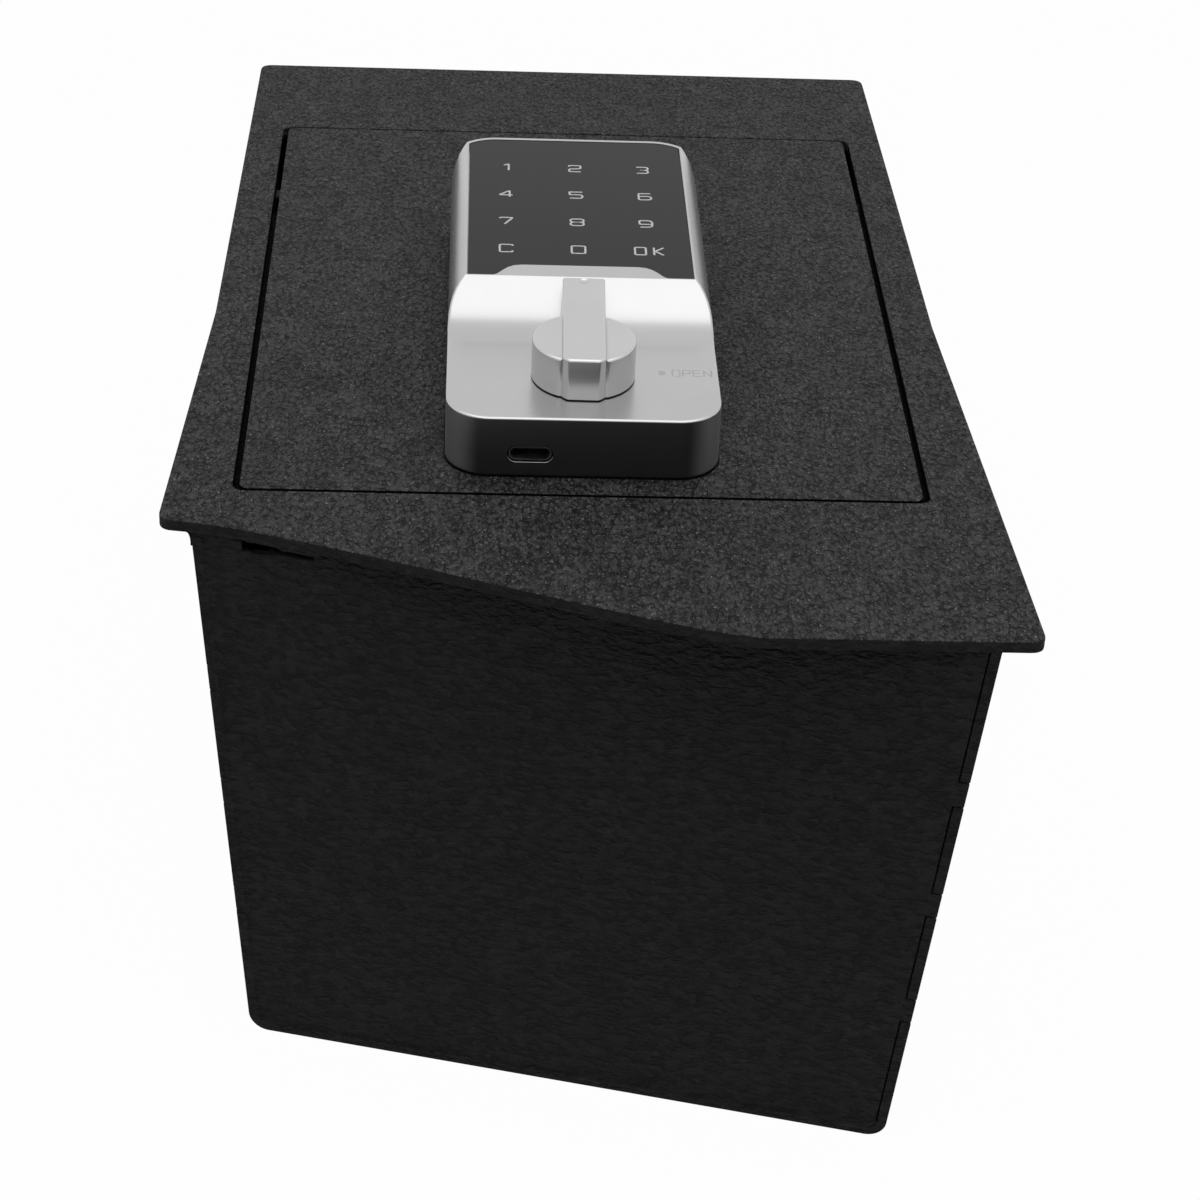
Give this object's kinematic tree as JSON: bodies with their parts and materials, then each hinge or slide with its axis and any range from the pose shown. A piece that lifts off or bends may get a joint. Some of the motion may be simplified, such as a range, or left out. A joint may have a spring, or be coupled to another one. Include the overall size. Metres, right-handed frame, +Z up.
{
  "type": "console safe",
  "caption": "Steel box safe that drops into a vehicle's centre console: skewed front, wide top flange, flush hinged door with a keypad lock and turn knob.",
  "frame": {"origin": "middle of the bounding box's bottom face, on the underside of the floor", "axes": "+Z up, +Y from the lock's knob toward its keypad and the door's hinge, +X to the right of someone who reads the keypad"},
  "size_m": [0.1752, 0.2744, 0.1552],
  "materials": {
    "liner_coat": "pebbled matt black coating",
    "satin_silver": "satin",
    "zinc_steel": "zinc plated",
    "black_steel": "black oxide",
    "panel_black": "gloss",
    "black_plastic": "matt",
    "board_green": "solder mask",
    "bush_brass": "turned",
    "cell_wrap": "printed film, plain"
  },
  "bodies": {
    "safe_body": {"top_flange": "liner_coat", "body_shell": "liner_coat", "front_wall": "liner_coat", "back_wall": "liner_coat", "latch_lip": "liner_coat", "rest_rail_left": "liner_coat", "rest_rail_right": "liner_coat", "hinge_bracket_left": "liner_coat", "hinge_bracket_right": "liner_coat"},
    "door": {"door_plate": "liner_coat", "hinge_lug_left": "liner_coat", "hinge_lug_right": "liner_coat", "hinge_pin_left": "black_steel", "hinge_pin_right": "black_steel", "lock_housing": "satin_silver", "keypad_panel": "panel_black", "keypad_board": "board_green", "usb_shell": "zinc_steel", "usb_tongue": "black_plastic", "lock_motor": "zinc_steel", "link_connector": "black_plastic", "battery_case": "black_plastic", "battery_cover": "black_plastic", "cover_screw": "zinc_steel", "battery_contact_left": "zinc_steel", "battery_contact_right": "zinc_steel", "battery_1": "cell_wrap", "battery_2": "cell_wrap", "battery_3": "cell_wrap", "battery_4": "cell_wrap", "lock_screw_1": "zinc_steel", "lock_screw_2": "zinc_steel", "lock_screw_3": "zinc_steel", "lock_screw_4": "zinc_steel", "spindle_bush": "bush_brass", "bush_nut": "zinc_steel"},
    "latch": {"knob": "satin_silver", "spindle": "zinc_steel", "latch_cam": "zinc_steel", "cam_washer": "zinc_steel", "cam_nut": "zinc_steel"}
  },
  "joints": [
    {"name": "door_swing", "type": "hinge", "parent": "safe_body", "child": "door", "pos_m": [-0.0012, 0.06675, 0.126], "axis": [-1, 0, 0], "range_deg": [0, 100]},
    {"name": "knob_turn", "type": "hinge", "parent": "door", "child": "latch", "pos_m": [-0.0012, -0.05855, 0.1455], "axis": [0, 0, -1], "range_deg": [0, 90]}
  ]
}
